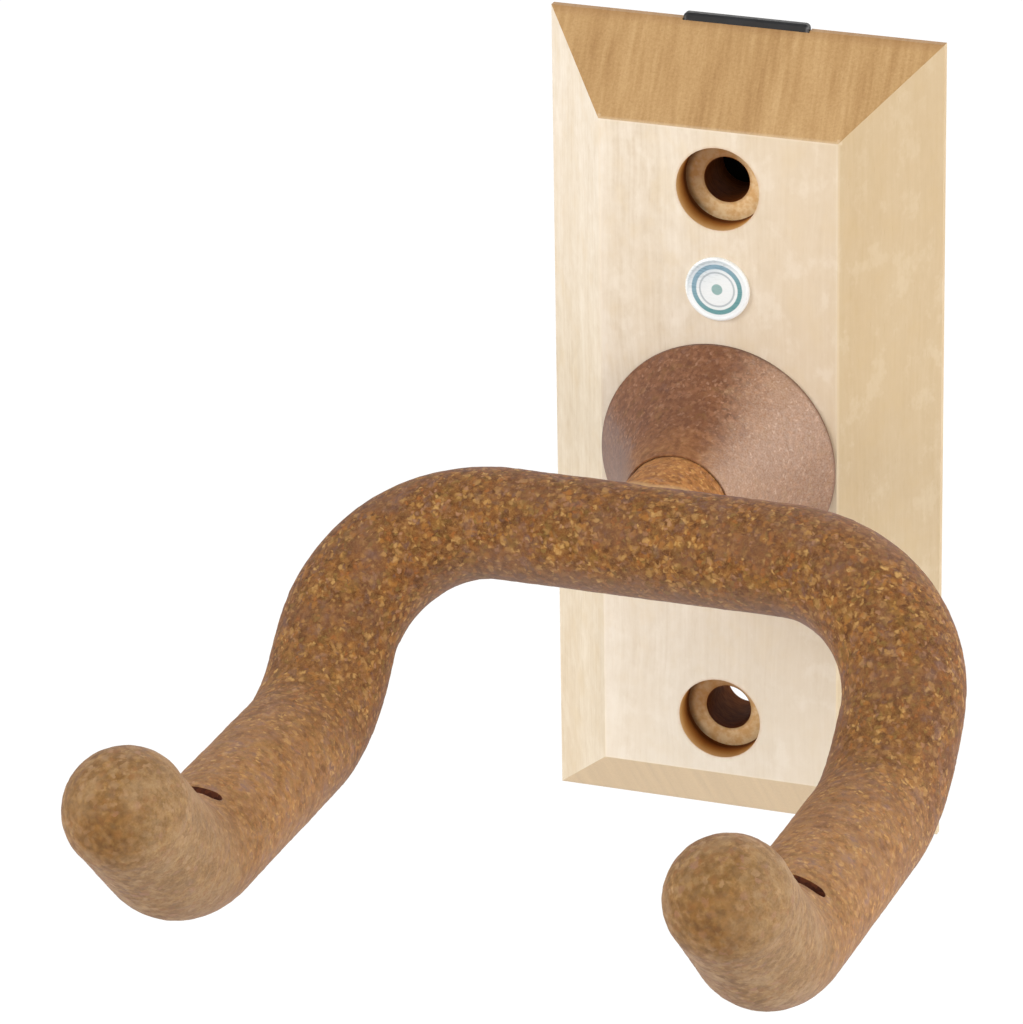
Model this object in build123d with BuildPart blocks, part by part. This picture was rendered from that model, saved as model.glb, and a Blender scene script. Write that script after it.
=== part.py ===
from build123d import *
import os
from collections import namedtuple
from math import tan, radians

# Wall guitar hanger: bevelled maple wall plate with a swivelling, cork-covered steel yoke.
# Frame: +Z up, the wall is the plane Y = 0, the hanger stands out towards -Y, +X is right
# seen from the front. The origin is where the swivel axis meets the wall. Millimetres.
# Names ending in _y are Y coordinates. A "depth" is a distance in front of the wall, so it
# is -Y and serves directly as an offset of Plane.XZ, whose normal points to -Y.

os.makedirs("parts", exist_ok=True)

# ---------------------------------------------------------------- driving dimensions
plate_w = 52.0            # wall plate width
plate_h = 109.0           # wall plate height
plate_t = 12.5            # wall plate thickness
plate_edge = 1.0          # square edge left behind the bevels
bevel_in = 10.25          # bevel width, seen from the front
screw_pitch = 73.0        # wall screw holes, centre to centre
cbore_d, cbore_depth = 11.0, 3.8
wall_hole_d = 6.0         # clearance hole through the wood

strip_w, strip_t = 16.6, 1.2
strip_over = 0.8          # strip stands above the plate's top edge
strip_low = -24.0         # lower end of the strip
strip_corner_r = 0.6
strip_top_chamfer = 0.25
strip_hole_d = 2.8        # hole in the strip for the upper wall screw
groove_gap = 0.1          # side gap between strip and groove
strip_screw_z = (-18.0, 18.0, 46.5)
wood_screw_head_d, wood_screw_d, wood_screw_len = 4.6, 2.4, 7.0
screw_taper_start = 1.6   # where the screw's point begins, back from its full length
screw_tip_short = 0.2     # blunt tip, short of the full length
screw_tip_r = 0.25
recess_w, recess_slot, recess_depth = 2.4, 0.6, 0.8    # cross recess in the head

badge_d, badge_t, badge_z = 8.5, 0.9, 23.2
badge_sink = 0.4
badge_round = 0.3

pocket_d = 20.0           # pocket for the lock nut, from the back
pocket_floor = 8.9        # depth of the pocket's floor
bush_od, bush_id = 11.0, 8.06
bush_flange_d = 16.0
front_flange_t, rear_flange_t = 1.0, 0.8
bush_barrel = 1.7
ring_chamfer = 0.2        # on the bushes and the thrust washer
face_gap = 0.05           # running gap between faces that slide

journal_d = 8.0           # stem where it turns in the bushes
journal_chamfer = 0.2
thread_d = 6.0            # threaded end
thread_chamfer = 0.4
thread_out = 0.25         # thread stands out behind the nut
shank_d = 10.0            # stem between collar and yoke
collar_d, collar_t = 13.0, 2.5
collar_back_chamfer, collar_front_chamfer = 0.3, 0.5
thrust_od, thrust_t = 15.0, 1.2
nut_af, nut_t = 10.0, 3.2
nut_face_in = 0.1         # end faces' radius, less than half the width across flats
nut_cone_len, nut_cone_out = 0.6, 1.0    # cone that trims the corners: length, final radius
spring_od, spring_id, spring_s, spring_h = 14.5, 8.6, 0.35, 0.8    # s: sheet, h: overall

rosette_d = 31.2
rosette_rim = 0.5
rosette_len = 16.6
rosette_mouth_d = 14.2    # small end
rosette_cavity_d, rosette_cavity = 18.0, 4.9
rosette_mid = 0.55        # the flank's middle point: share of the length from the back
rosette_mid_out = 3.2     # and distance outside the mouth's radius
sleeve_d = 13.4
sleeve_gap = 0.2          # running gap between sleeve and rosette
sleeve_end_gap = 0.3      # between collar and sleeve

yoke_y = -40.6            # crossbar centre line
rod_d = 8.0
bar_r = 7.0               # cover radius on the crossbar
arm_r = 7.6               # cover radius on the arms
arm_x = 36.8              # arm centre lines
drop_y, drop_z = -19.6, -21.5       # lower bend, from the crossbar
reach_y, reach_z = -64.0, -20.6     # start of the upturned tip, from the crossbar
tip_y, tip_z = -77.9, -6.7          # centre of the round tip, from the crossbar
bend_radii = (18.4, 15.5, 17.4)     # crossbar to drop, drop to arm, arm to tip
rod_short = 2.0           # rod stops short of the tip centre
rod_end_chamfer = 1.0
slot_w, slot_len, slot_y = 1.9, 8.4, -58.0
slot_out = 0.75           # slot centre lies this far outside the arm's centre line
slot_floor = 5.2          # slot floor above the corner at reach_z
slot_cut_h = 4.0
saddle_back = 2.2         # stem ends this far behind the crossbar's centre line
stem_cut_len = 20.0       # length of the stem's cut in the cover

# ---------------------------------------------------------------- derived places
top_z = plate_h / 2
screw_z = screw_pitch / 2
swivel = Axis((0, 0, 0), (0, 1, 0))

# stack in the pocket, from its floor back towards the wall
spring_front = pocket_floor - rear_flange_t - face_gap     # depth of the washer's front
shoulder = spring_front - spring_h - face_gap    # depth of stem shoulder and thrust washer front
nut_front = shoulder - thrust_t
nut_back = nut_front - nut_t

collar_back_y = -plate_t - front_flange_t - face_gap
collar_front_y = collar_back_y - collar_t
saddle_y = yoke_y + saddle_back


def save(part, name):
    part.label = name
    export_step(part, f"parts/{name}.step")


# ---------------------------------------------------------------- base plate
with BuildPart() as base_plate:
    with BuildSketch(Plane.XZ):
        Rectangle(plate_w, plate_h)
    extrude(amount=plate_edge)
    with BuildSketch(Plane.XZ.offset(plate_edge)):
        Rectangle(plate_w, plate_h)
    with BuildSketch(Plane.XZ.offset(plate_t)):
        Rectangle(plate_w - 2 * bevel_in, plate_h - 2 * bevel_in)
    loft()
    # counterbored wall screw holes, entered from the front face
    with Locations(Plane(origin=(0, -plate_t, 0), x_dir=(1, 0, 0), z_dir=(0, -1, 0))):
        with Locations((0, screw_z), (0, -screw_z)):
            CounterBoreHole(radius=wall_hole_d / 2, counter_bore_radius=cbore_d / 2,
                            counter_bore_depth=cbore_depth)
    # shallow seat for the badge
    with BuildSketch(Plane.XZ.offset(plate_t)):
        with Locations((0, badge_z)):
            Circle(badge_d / 2)
    extrude(amount=-badge_sink, mode=Mode.SUBTRACT)
    # groove for the back strip, open at the top edge
    with BuildSketch(Plane.XZ):
        with Locations((0, (top_z + strip_low) / 2)):
            Rectangle(strip_w + 2 * groove_gap, top_z - strip_low + 2 * groove_gap)
    extrude(amount=strip_t, mode=Mode.SUBTRACT)
    # nut pocket from the back, then the bore for the bushes
    for bore_d, bore_depth in ((pocket_d, pocket_floor), (bush_od, plate_t)):
        with BuildSketch(Plane.XZ):
            Circle(bore_d / 2)
        extrude(amount=bore_depth, mode=Mode.SUBTRACT)
    # pilot holes for the strip's wood screws
    with BuildSketch(Plane.XZ.offset(strip_t)):
        with Locations(*[(0, z) for z in strip_screw_z]):
            Circle(wood_screw_d / 2)
    extrude(amount=wood_screw_len - strip_t, mode=Mode.SUBTRACT)
save(base_plate.part, "base_plate")


# ---------------------------------------------------------------- back strip
strip_top = top_z + strip_over
with BuildPart() as back_strip:
    with BuildSketch(Plane.XZ):
        with Locations((0, (strip_top + strip_low) / 2)):
            RectangleRounded(strip_w, strip_top - strip_low, strip_corner_r)
    extrude(amount=strip_t)
    with BuildSketch(Plane.XZ):
        with Locations((0, screw_z)):
            Circle(strip_hole_d / 2)
    extrude(amount=strip_t, mode=Mode.SUBTRACT)
    # countersunk holes, heads flush with the wall side
    with Locations(Plane(origin=(0, 0, 0), x_dir=(-1, 0, 0), z_dir=(0, 1, 0))):
        with Locations(*[(0, z) for z in strip_screw_z]):
            CounterSinkHole(radius=wood_screw_d / 2, counter_sink_radius=wood_screw_head_d / 2)
    top_edges = back_strip.edges().filter_by(GeomType.LINE).filter_by(Axis.X).group_by(Axis.Z)[-1]
    chamfer(top_edges, strip_top_chamfer)
save(back_strip.part, "back_strip")


# ---------------------------------------------------------------- wood screws of the strip
head_h = (wood_screw_head_d - wood_screw_d) / 2
screw_taper_y = -wood_screw_len + screw_taper_start
screw_tip_y = -wood_screw_len + screw_tip_short
with BuildPart() as strip_screws:
    for z in strip_screw_z:
        with BuildSketch(Plane.YZ):
            with BuildLine():
                Polyline((0, z), (0, z + wood_screw_head_d / 2),
                         (-head_h, z + wood_screw_d / 2),
                         (screw_taper_y, z + wood_screw_d / 2),
                         (screw_tip_y, z + screw_tip_r),
                         (screw_tip_y, z), close=True)
            make_face()
        revolve(axis=Axis((0, 0, z), (0, 1, 0)))
        # cross recess in the head
        with BuildSketch(Plane.XZ):
            with Locations((0, z)):
                Rectangle(recess_w, recess_slot)
                Rectangle(recess_slot, recess_w)
        extrude(amount=recess_depth, mode=Mode.SUBTRACT)
save(strip_screws.part, "strip_screws")


# ---------------------------------------------------------------- badge
with BuildPart() as badge:
    with BuildSketch(Plane.XZ.offset(plate_t - badge_sink)):
        with Locations((0, badge_z)):
            Circle(badge_d / 2)
    extrude(amount=badge_t)
    fillet(badge.edges().filter_by(GeomType.CIRCLE).group_by(Axis.Y)[0], badge_round)
save(badge.part, "badge")


# ---------------------------------------------------------------- bushes
def bush(barrel_depth, flange_depth, flange_t, flange_end):
    """Flanged bush. Depths are of the rear faces; flange_end is 0 for front, -1 for rear."""
    with BuildPart() as built:
        for depth, diameter, length in ((barrel_depth, bush_od, bush_barrel),
                                        (flange_depth, bush_flange_d, flange_t)):
            with BuildSketch(Plane.XZ.offset(depth)):
                Circle(diameter / 2)
                Circle(bush_id / 2, mode=Mode.SUBTRACT)
            extrude(amount=length)
        rims = built.edges().filter_by(GeomType.CIRCLE).group_by(Axis.Y)[flange_end]
        chamfer(rims, ring_chamfer)
    return built.part


save(bush(plate_t - bush_barrel, plate_t, front_flange_t, 0), "front_bush")
save(bush(pocket_floor, pocket_floor - rear_flange_t, rear_flange_t, -1), "rear_bush")


# ---------------------------------------------------------------- curved spring washer
# bent about a line along Z: its middle is towards the bush, its sides towards the thrust washer
sag = spring_h - spring_s
spring_r = spring_od / 2
mid_front_y = -spring_front
side_front_y = mid_front_y + sag
side_back_y = mid_front_y + spring_h
with BuildPart() as spring_washer:
    with BuildSketch(Plane.XY.offset(-spring_r)):
        with BuildLine():
            Line((-spring_r, side_front_y), (-spring_r, side_back_y))
            ThreePointArc((-spring_r, side_back_y), (0, mid_front_y + spring_s),
                          (spring_r, side_back_y))
            Line((spring_r, side_back_y), (spring_r, side_front_y))
            ThreePointArc((spring_r, side_front_y), (0, mid_front_y), (-spring_r, side_front_y))
        make_face()
    extrude(amount=spring_od)
    # round outline and hole; the cutter reaches 1 mm past the washer both ways
    with BuildSketch(Plane.XZ.offset(spring_front - spring_h - 1)):
        Circle(spring_r)
        Circle(spring_id / 2, mode=Mode.SUBTRACT)
    extrude(amount=spring_h + 2, mode=Mode.INTERSECT)
save(spring_washer.part, "spring_washer")


# ---------------------------------------------------------------- thrust washer and lock nut
with BuildPart() as thrust_washer:
    with BuildSketch(Plane.XZ.offset(nut_front)):
        Circle(thrust_od / 2)
        Circle(thread_d / 2, mode=Mode.SUBTRACT)
    extrude(amount=thrust_t)
    outer_rims = thrust_washer.edges().filter_by(GeomType.CIRCLE).sort_by(SortBy.RADIUS)[-2:]
    chamfer(outer_rims, ring_chamfer)
save(thrust_washer.part, "thrust_washer")

nut_face_r = nut_af / 2 - nut_face_in
nut_side_r = nut_af / 2 + nut_cone_out
with BuildPart() as lock_nut:
    with BuildSketch(Plane.XZ.offset(nut_back)):
        RegularPolygon(radius=nut_af / 2, side_count=6, major_radius=False)
    extrude(amount=nut_t)
    # cones trim the corners of the hexagon at both ends
    with BuildSketch(Plane.YZ):
        with BuildLine():
            Polyline((-nut_front, 0), (-nut_front, nut_face_r),
                     (-nut_front + nut_cone_len, nut_side_r),
                     (-nut_back - nut_cone_len, nut_side_r),
                     (-nut_back, nut_face_r), (-nut_back, 0), close=True)
        make_face()
    revolve(axis=swivel, mode=Mode.INTERSECT)
    with BuildSketch(Plane.XZ.offset(nut_back)):
        Circle(thread_d / 2)
    extrude(amount=nut_t, mode=Mode.SUBTRACT)
save(lock_nut.part, "lock_nut")


# ---------------------------------------------------------------- yoke centre line
Bend = namedtuple("Bend", "start end axis turn dir_in dir_out")


def make_bend(before, corner, after, radius):
    """Round the corner between two neighbouring corners of the centre line."""
    dir_in, dir_out = (corner - before).normalized(), (after - corner).normalized()
    turn = dir_in.get_angle(dir_out)
    setback = radius * tan(radians(turn) / 2)
    normal = dir_in.cross(dir_out).normalized()
    start = corner - dir_in * setback
    centre = start + normal.cross(dir_in) * radius
    return Bend(start, corner + dir_out * setback, Axis(centre, normal), turn, dir_in, dir_out)


def across(point, direction):
    """Plane through the point, square to the direction; only the crossbar runs along X."""
    x_dir = (0, 0, 1) if abs(direction.X) > 0.5 else (1, 0, 0)
    return Plane(origin=point, x_dir=x_dir, z_dir=direction)


# right half of the centre line, from the middle of the crossbar to the tip
corners = [
    Vector(0, yoke_y, 0),
    Vector(arm_x, yoke_y, 0),
    Vector(arm_x, yoke_y + drop_y, drop_z),
    Vector(arm_x, yoke_y + reach_y, reach_z),
    Vector(arm_x, yoke_y + tip_y, tip_z),
]
bends = [make_bend(*corners[i:i + 3], radius) for i, radius in enumerate(bend_radii)]
bar_bend, arm_bend, tip_bend = bends
bar_dir, tip_dir = bar_bend.dir_in, tip_bend.dir_out
tip_centre = corners[-1]
rod_end = tip_centre - tip_dir * rod_short


# ---------------------------------------------------------------- steel rod of the yoke
with BuildPart() as yoke_rod:
    straight_start = corners[0]
    for bend in bends:
        with BuildSketch(across(straight_start, bend.dir_in)):
            Circle(rod_d / 2)
        extrude(amount=(bend.start - straight_start).length)
        with BuildSketch(across(bend.start, bend.dir_in)):
            Circle(rod_d / 2)
        revolve(axis=bend.axis, revolution_arc=bend.turn)
        straight_start = bend.end
    with BuildSketch(across(straight_start, tip_dir)):
        Circle(rod_d / 2)
    extrude(amount=(rod_end - straight_start).length)
    end_face = yoke_rod.faces().filter_by(GeomType.PLANE).sort_by(Axis(corners[1], tip_dir))[-1]
    chamfer(end_face.edges(), rod_end_chamfer)
    mirror(about=Plane.YZ)
save(yoke_rod.part, "yoke_rod")


# ---------------------------------------------------------------- swivel stem
thread_end_y = -nut_back + thread_out
with BuildPart() as stem:
    with BuildSketch(Plane.YZ):
        with BuildLine():
            Polyline((thread_end_y, 0), (thread_end_y, thread_d / 2 - thread_chamfer),
                     (thread_end_y - thread_chamfer, thread_d / 2),
                     (-shoulder, thread_d / 2), (-shoulder, journal_d / 2 - journal_chamfer),
                     (-shoulder - journal_chamfer, journal_d / 2),
                     (collar_back_y, journal_d / 2),
                     (collar_back_y, collar_d / 2 - collar_back_chamfer),
                     (collar_back_y - collar_back_chamfer, collar_d / 2),
                     (collar_front_y + collar_front_chamfer, collar_d / 2),
                     (collar_front_y, collar_d / 2 - collar_front_chamfer),
                     (collar_front_y, shank_d / 2),
                     (saddle_y, shank_d / 2), (saddle_y, 0), close=True)
        make_face()
    revolve(axis=swivel)
    # saddle that sits on the rod
    with BuildSketch(across((-shank_d, yoke_y, 0), bar_dir)):
        Circle(rod_d / 2)
    extrude(amount=2 * shank_d, mode=Mode.SUBTRACT)
save(stem.part, "stem")


# ---------------------------------------------------------------- cork cover of the yoke
with BuildPart() as yoke_cover:
    straight_start = corners[0]
    for bend, cover_r in zip(bends, (bar_r, arm_r, arm_r)):
        straight_len = (bend.start - straight_start).length
        if bend is arm_bend:
            # the cover thickens on the short straight between the first two bends
            with BuildSketch(Plane(origin=straight_start, x_dir=bend.dir_in, z_dir=(1, 0, 0))):
                with BuildLine():
                    Polyline((0, 0), (0, bar_r), (straight_len, arm_r), (straight_len, 0),
                             close=True)
                make_face()
            revolve(axis=Axis(straight_start, bend.dir_in))
        else:
            with BuildSketch(across(straight_start, bend.dir_in)):
                Circle(cover_r)
            extrude(amount=straight_len)
        with BuildSketch(across(bend.start, bend.dir_in)):
            Circle(cover_r)
        revolve(axis=bend.axis, revolution_arc=bend.turn)
        straight_start = bend.end
    # upturned tip with its round end
    with BuildSketch(across(straight_start, tip_dir)):
        Circle(arm_r)
    extrude(amount=(tip_centre - straight_start).length)
    with Locations(tip_centre):
        Sphere(arm_r)
    # short slot across the top of the arm where the tip begins
    with Locations((arm_x + slot_out, yoke_y + slot_y, reach_z + slot_floor + slot_cut_h / 2)):
        Box(slot_len, slot_w, slot_cut_h, mode=Mode.SUBTRACT)
    mirror(about=Plane.YZ)
    # hollow for the rod and the stem
    add(yoke_rod.part, mode=Mode.SUBTRACT)
    with BuildSketch(Plane.XZ.offset(-saddle_y - stem_cut_len)):
        Circle(shank_d / 2)
    extrude(amount=stem_cut_len, mode=Mode.SUBTRACT)
save(yoke_cover.part, "yoke_cover")


# ---------------------------------------------------------------- cork sleeve on the stem
sleeve_back_y = collar_front_y - sleeve_end_gap
with BuildPart() as stem_sleeve:
    with BuildSketch(Plane.XZ.offset(-sleeve_back_y)):
        Circle(sleeve_d / 2)
        Circle(shank_d / 2, mode=Mode.SUBTRACT)
    extrude(amount=sleeve_back_y - yoke_y)
    # its front end is cut to the round of the crossbar
    with BuildSketch(across((-arm_x / 2, yoke_y, 0), bar_dir)):
        Circle(bar_r)
    extrude(amount=arm_x, mode=Mode.SUBTRACT)
save(stem_sleeve.part, "stem_sleeve")


# ---------------------------------------------------------------- rosette
back_y = -plate_t
front_y = back_y - rosette_len
cavity_y = back_y - rosette_cavity
rim_y = back_y - rosette_rim
bore_r = sleeve_d / 2 + sleeve_gap
mouth_r = rosette_mouth_d / 2
with BuildPart() as rosette:
    with BuildSketch(Plane.YZ):
        with BuildLine():
            Polyline((front_y, bore_r), (cavity_y, bore_r),
                     (cavity_y, rosette_cavity_d / 2), (back_y, rosette_cavity_d / 2),
                     (back_y, rosette_d / 2), (rim_y, rosette_d / 2))
            Spline((rim_y, rosette_d / 2),
                   (back_y - rosette_mid * rosette_len, mouth_r + rosette_mid_out),
                   (front_y, mouth_r))
            Line((front_y, mouth_r), (front_y, bore_r))
        make_face()
    revolve(axis=swivel)
save(rosette.part, "rosette")
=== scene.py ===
"""A wall hook: a maple plate with a cork rosette and a sleeved stem that carries a cork yoke.

The plate stands upright, long along z, with its back at y = 0 and its front towards -y.
The yoke's bar runs along x in front of it, and its two arms reach further towards -y.
Lengths are millimetres, times MM where Blender needs metres.
"""
import math
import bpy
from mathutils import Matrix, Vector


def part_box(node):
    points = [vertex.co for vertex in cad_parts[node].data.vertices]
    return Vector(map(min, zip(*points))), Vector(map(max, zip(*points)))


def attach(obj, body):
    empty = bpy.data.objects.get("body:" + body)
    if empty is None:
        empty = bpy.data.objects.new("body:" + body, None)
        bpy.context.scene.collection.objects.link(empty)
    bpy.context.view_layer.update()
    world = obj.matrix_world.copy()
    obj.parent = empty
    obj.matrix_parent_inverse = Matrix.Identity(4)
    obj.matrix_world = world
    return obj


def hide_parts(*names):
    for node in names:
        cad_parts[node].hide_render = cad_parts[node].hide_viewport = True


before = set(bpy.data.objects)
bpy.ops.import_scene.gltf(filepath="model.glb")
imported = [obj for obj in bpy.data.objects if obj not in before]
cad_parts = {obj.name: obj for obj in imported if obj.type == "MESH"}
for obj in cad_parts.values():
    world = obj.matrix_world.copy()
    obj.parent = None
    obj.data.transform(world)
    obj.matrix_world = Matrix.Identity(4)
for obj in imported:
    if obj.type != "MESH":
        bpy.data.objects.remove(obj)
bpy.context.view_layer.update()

from types import SimpleNamespace

import bmesh
import bpy
from mathutils import Matrix, Vector

scene = bpy.context.scene
scene.view_settings.view_transform = "Standard"
scene.view_settings.look = "None"

MM = 0.001

# the plate
PLATE_DEPTH = 12.5
FRONT_SKIN = -12.44          # just behind the front face
EDGE_X, EDGE_Z = 15.75, 44.25  # where the slopes meet the front face
HOLE_Z = 36.5                # the holes lie this far above and below the centre
BADGE_Z = 23.2

# the yoke
YOKE_Y = -40.6               # axis of the bar
BAR_RADIUS, ARM_RADIUS = 7.0, 7.6
ARM_X, ARM_Z = 36.8, -20.6
TIP_DROP = 6.7               # the arm tips end this far below the bar's axis

# grain sizes shared by a cork's colour and its relief
COVER_GRAIN, SLEEVE_GRAIN, ROSETTE_GRAIN = 0.96, 0.85, 0.80


# ------------------------------------------------------------------ node graphs
def rgb(*channels):
    """An sRGB colour, 0 to 255, as linear RGBA."""
    parts = [c / 255.0 for c in channels]
    return tuple(c / 12.92 if c <= 0.04045 else ((c + 0.055) / 1.055) ** 2.4 for c in parts) + (1.0,)


class Signal:
    """An output socket. Operators and methods add nodes; colour triples are sRGB, 0 to 255."""

    def __init__(self, graph, socket):
        self.graph = graph
        self.socket = socket

    def math(self, operation, other=0.0):
        if self.socket.type == "VALUE":
            return self.graph.math(operation, self, other)
        if not isinstance(other, (Signal, tuple)):
            other = (other,) * 3
        return self.graph.out("ShaderNodeVectorMath", {0: self, 1: other}, operation=operation)

    def __add__(self, other):
        return self.math("ADD", other)

    def __radd__(self, other):
        return self.graph.math("ADD", other, self)

    def __sub__(self, other):
        return self.math("SUBTRACT", other)

    def __rsub__(self, other):
        return self.graph.math("SUBTRACT", other, self)

    def __mul__(self, other):
        return self.math("MULTIPLY", other)

    def __pow__(self, other):
        return self.math("POWER", other)

    def __gt__(self, other):
        return self.math("GREATER_THAN", other)

    def __lt__(self, other):
        return self.math("LESS_THAN", other)

    def __abs__(self):
        return self.math("ABSOLUTE")

    def sqrt(self):
        return self.math("SQRT")

    def swing(self, reach):
        """A noise centred on zero and scaled."""
        return (self - 0.5) * reach

    def ease(self, start, end, low=0.0, high=1.0):
        """Smooth step from low at start to high at end."""
        return self.graph.out("ShaderNodeMapRange", {0: self, 1: start, 2: end, 3: low, 4: high},
                              interpolation_type="SMOOTHSTEP", clamp=True)

    def linear(self, low=0.0, high=1.0, start=0.3, end=0.7):
        """Straight map; the default start and end span the usual range of a noise."""
        return self.graph.out("ShaderNodeMapRange", {0: self, 1: start, 2: end, 3: low, 4: high},
                              clamp=True)

    def xyz(self):
        node = self.graph.add("ShaderNodeSeparateXYZ", {0: self})
        return [Signal(self.graph, socket) for socket in node.outputs]

    def channels(self):
        node = self.graph.add("ShaderNodeSeparateColor", {0: self})
        return [Signal(self.graph, socket) for socket in node.outputs]

    def noise(self, size, detail=3.0, rough=0.55, distort=0.0, output=0):
        return self.graph.out("ShaderNodeTexNoise",
                              {"Vector": self, "Scale": 1.0 / size, "Detail": detail,
                               "Roughness": rough, "Distortion": distort}, output)

    def cells(self, size):
        """Distance and colour of the nearest Voronoi cell."""
        node = self.graph.add("ShaderNodeTexVoronoi", {"Vector": self, "Scale": 1.0 / size})
        return [Signal(self.graph, node.outputs[name]) for name in ("Distance", "Color")]

    def ramp(self, *stops, mode="LINEAR"):
        """A colour ramp; each stop is (position, red, green, blue)."""
        node = self.graph.add("ShaderNodeValToRGB", {0: self})
        elements = node.color_ramp.elements
        node.color_ramp.interpolation = mode
        while len(elements) < len(stops):
            elements.new(0.5)
        for element, (position, *colour) in zip(elements, stops):
            element.position = position
            element.color = rgb(*colour)
        return Signal(self.graph, node.outputs[0])

    def steps(self, colours):
        """Equal flat steps through a list of colours."""
        stops = [(i / len(colours), *colour) for i, colour in enumerate(colours)]
        return self.ramp(*stops, mode="CONSTANT")

    def between(self, low_colour, high_colour):
        return self.graph.mix(self, low_colour, high_colour)

    def toward(self, colour, amount):
        return self.graph.mix(amount, self, colour)

    def times(self, colour):
        return self.graph.mix(1.0, self, colour, how="MULTIPLY")


class Graph:
    def __init__(self, tree):
        self.tree = tree

    def put(self, socket, value):
        if isinstance(value, Signal):
            value = value.socket
        if isinstance(value, bpy.types.NodeSocket):
            self.tree.links.new(value, socket)
        else:
            socket.default_value = value

    def fill(self, node, inputs):
        for key, value in inputs.items():
            self.put(node.inputs[key], value)

    def add(self, kind, inputs=None, **props):
        node = self.tree.nodes.new(kind)
        for key, value in props.items():
            setattr(node, key, value)
        self.fill(node, inputs or {})
        return node

    def out(self, kind, inputs=None, output=0, **props):
        return Signal(self, self.add(kind, inputs, **props).outputs[output])

    def math(self, operation, first, second):
        return self.out("ShaderNodeMath", {0: first, 1: second, 2: 0.0}, operation=operation)

    def vec(self, x, y, z):
        return self.out("ShaderNodeCombineXYZ", {0: x, 1: y, 2: z})

    def mix(self, amount, first, second, how="MIX"):
        first, second = [rgb(*c) if isinstance(c, tuple) else c for c in (first, second)]
        return self.out("ShaderNodeMix", {0: amount, 6: first, 7: second}, 2,
                        data_type="RGBA", blend_type=how, clamp_factor=True)

    def bump(self, height, depth, strength):
        return self.out("ShaderNodeBump",
                        {"Strength": strength, "Distance": depth * MM, "Height": height})


class Material(Graph):
    """A principled material; place is the object position in millimetres."""

    def __init__(self, name):
        self.data = bpy.data.materials.new(name)
        self.data.use_nodes = True
        super().__init__(self.data.node_tree)
        self.tree.nodes.clear()
        self.output = self.add("ShaderNodeOutputMaterial")
        self.surface = self.add("ShaderNodeBsdfPrincipled")
        self.fill(self.output, {0: self.surface.outputs[0]})
        self.place = self.out("ShaderNodeTexCoord", output="Object") * 1000.0

    def normal(self, kind):
        return self.out("ShaderNodeNewGeometry", output=kind).xyz()

    def paint(self, inputs):
        self.fill(self.surface, inputs)
        return self.data


# ------------------------------------------------------------------ maple
# Factors below 1 on a coordinate stretch a pattern along that axis.
def maple_side(wood):
    """Long grain, running up the plate."""
    x, y, z, vec = wood.x, wood.y, wood.z, wood.graph.vec
    cloud = vec(x, y, z * 0.4).noise(size=13.0)
    curl = vec(wood.across * 0.8, y, z * 0.55).noise(size=1.25, rough=0.6)
    streak = vec(wood.across, y * 0.6, z * 0.03).noise(size=2.1)
    fleck_distance, fleck_colour = vec(wood.across * 0.9, y, z * 0.30).cells(size=0.8)
    fleck = (fleck_distance.ease(start=0.34, end=0.12)
             * fleck_colour.channels()[0].ease(start=0.72, end=0.95))
    tone = wood.fibre * 0.25 + streak * 0.23 + wood.band * 0.27 + curl * 0.25
    side = tone.ramp((0.34, 216, 197, 171), (0.46, 229, 214, 193),
                     (0.56, 237, 224, 206), (0.70, 244, 234, 220))
    side = side.toward((196, 164, 124), wood.pore * 0.12)
    side = side.toward((248, 236, 220), fleck * 0.20)
    side = side.toward((226, 205, 174), cloud.ease(start=0.45, end=0.70, high=0.30))
    drift = x + wood.band.swing(reach=26.0)
    side = side.toward((216, 192, 158), drift.ease(start=-10.0, end=20.0, high=0.50))

    blush = vec(x, y, z * 0.7).noise(size=3.4, detail=4.0, rough=0.62)
    side = side.toward((226, 204, 168), blush.ease(start=0.50, end=0.68, high=0.26))
    side = side.toward((250, 240, 226), blush.ease(start=0.48, end=0.34, high=0.26))
    # painted light: paler low, except on the left slope; browner high on the right
    side = side.toward((246, 238, 226), z.ease(start=0.0, end=-52.0, high=0.36)
                       * wood.facing[0].ease(start=-0.5, end=-0.2))
    side = side.toward((206, 178, 138), z.ease(start=0.0, end=50.0, high=0.22)
                       * x.ease(start=-10.0, end=16.0))
    # painted shade: the lower left slope is toned a little darker
    left = wood.facing[0].ease(start=-0.2, end=-0.5) * z.ease(start=34.0, end=4.0)
    return side.toward(side.times((248, 245, 238)), left)


def maple_end(wood):
    """End grain on the top and bottom slopes: darker, with growth lines and open pores."""
    x, y, vec = wood.x, wood.y, wood.graph.vec
    depth = y + wood.z
    line = vec(x + y * 0.12, depth * 0.05, 0.0).noise(size=0.80, rough=0.6)
    ring = vec(x, depth * 0.05, 3.0).noise(size=3.0, detail=2.0, rough=0.5)
    tone = line * 0.38 + ring * 0.32 + wood.grit * 0.30
    end = tone.ramp((0.36, 168, 128, 80), (0.47, 184, 145, 95),
                    (0.57, 196, 158, 108), (0.70, 209, 174, 128))
    end = end.toward((150, 106, 62), y.ease(start=-2.2, end=-0.9, high=0.45))
    return end.toward((158, 118, 76), wood.dot * 0.20)


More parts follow.
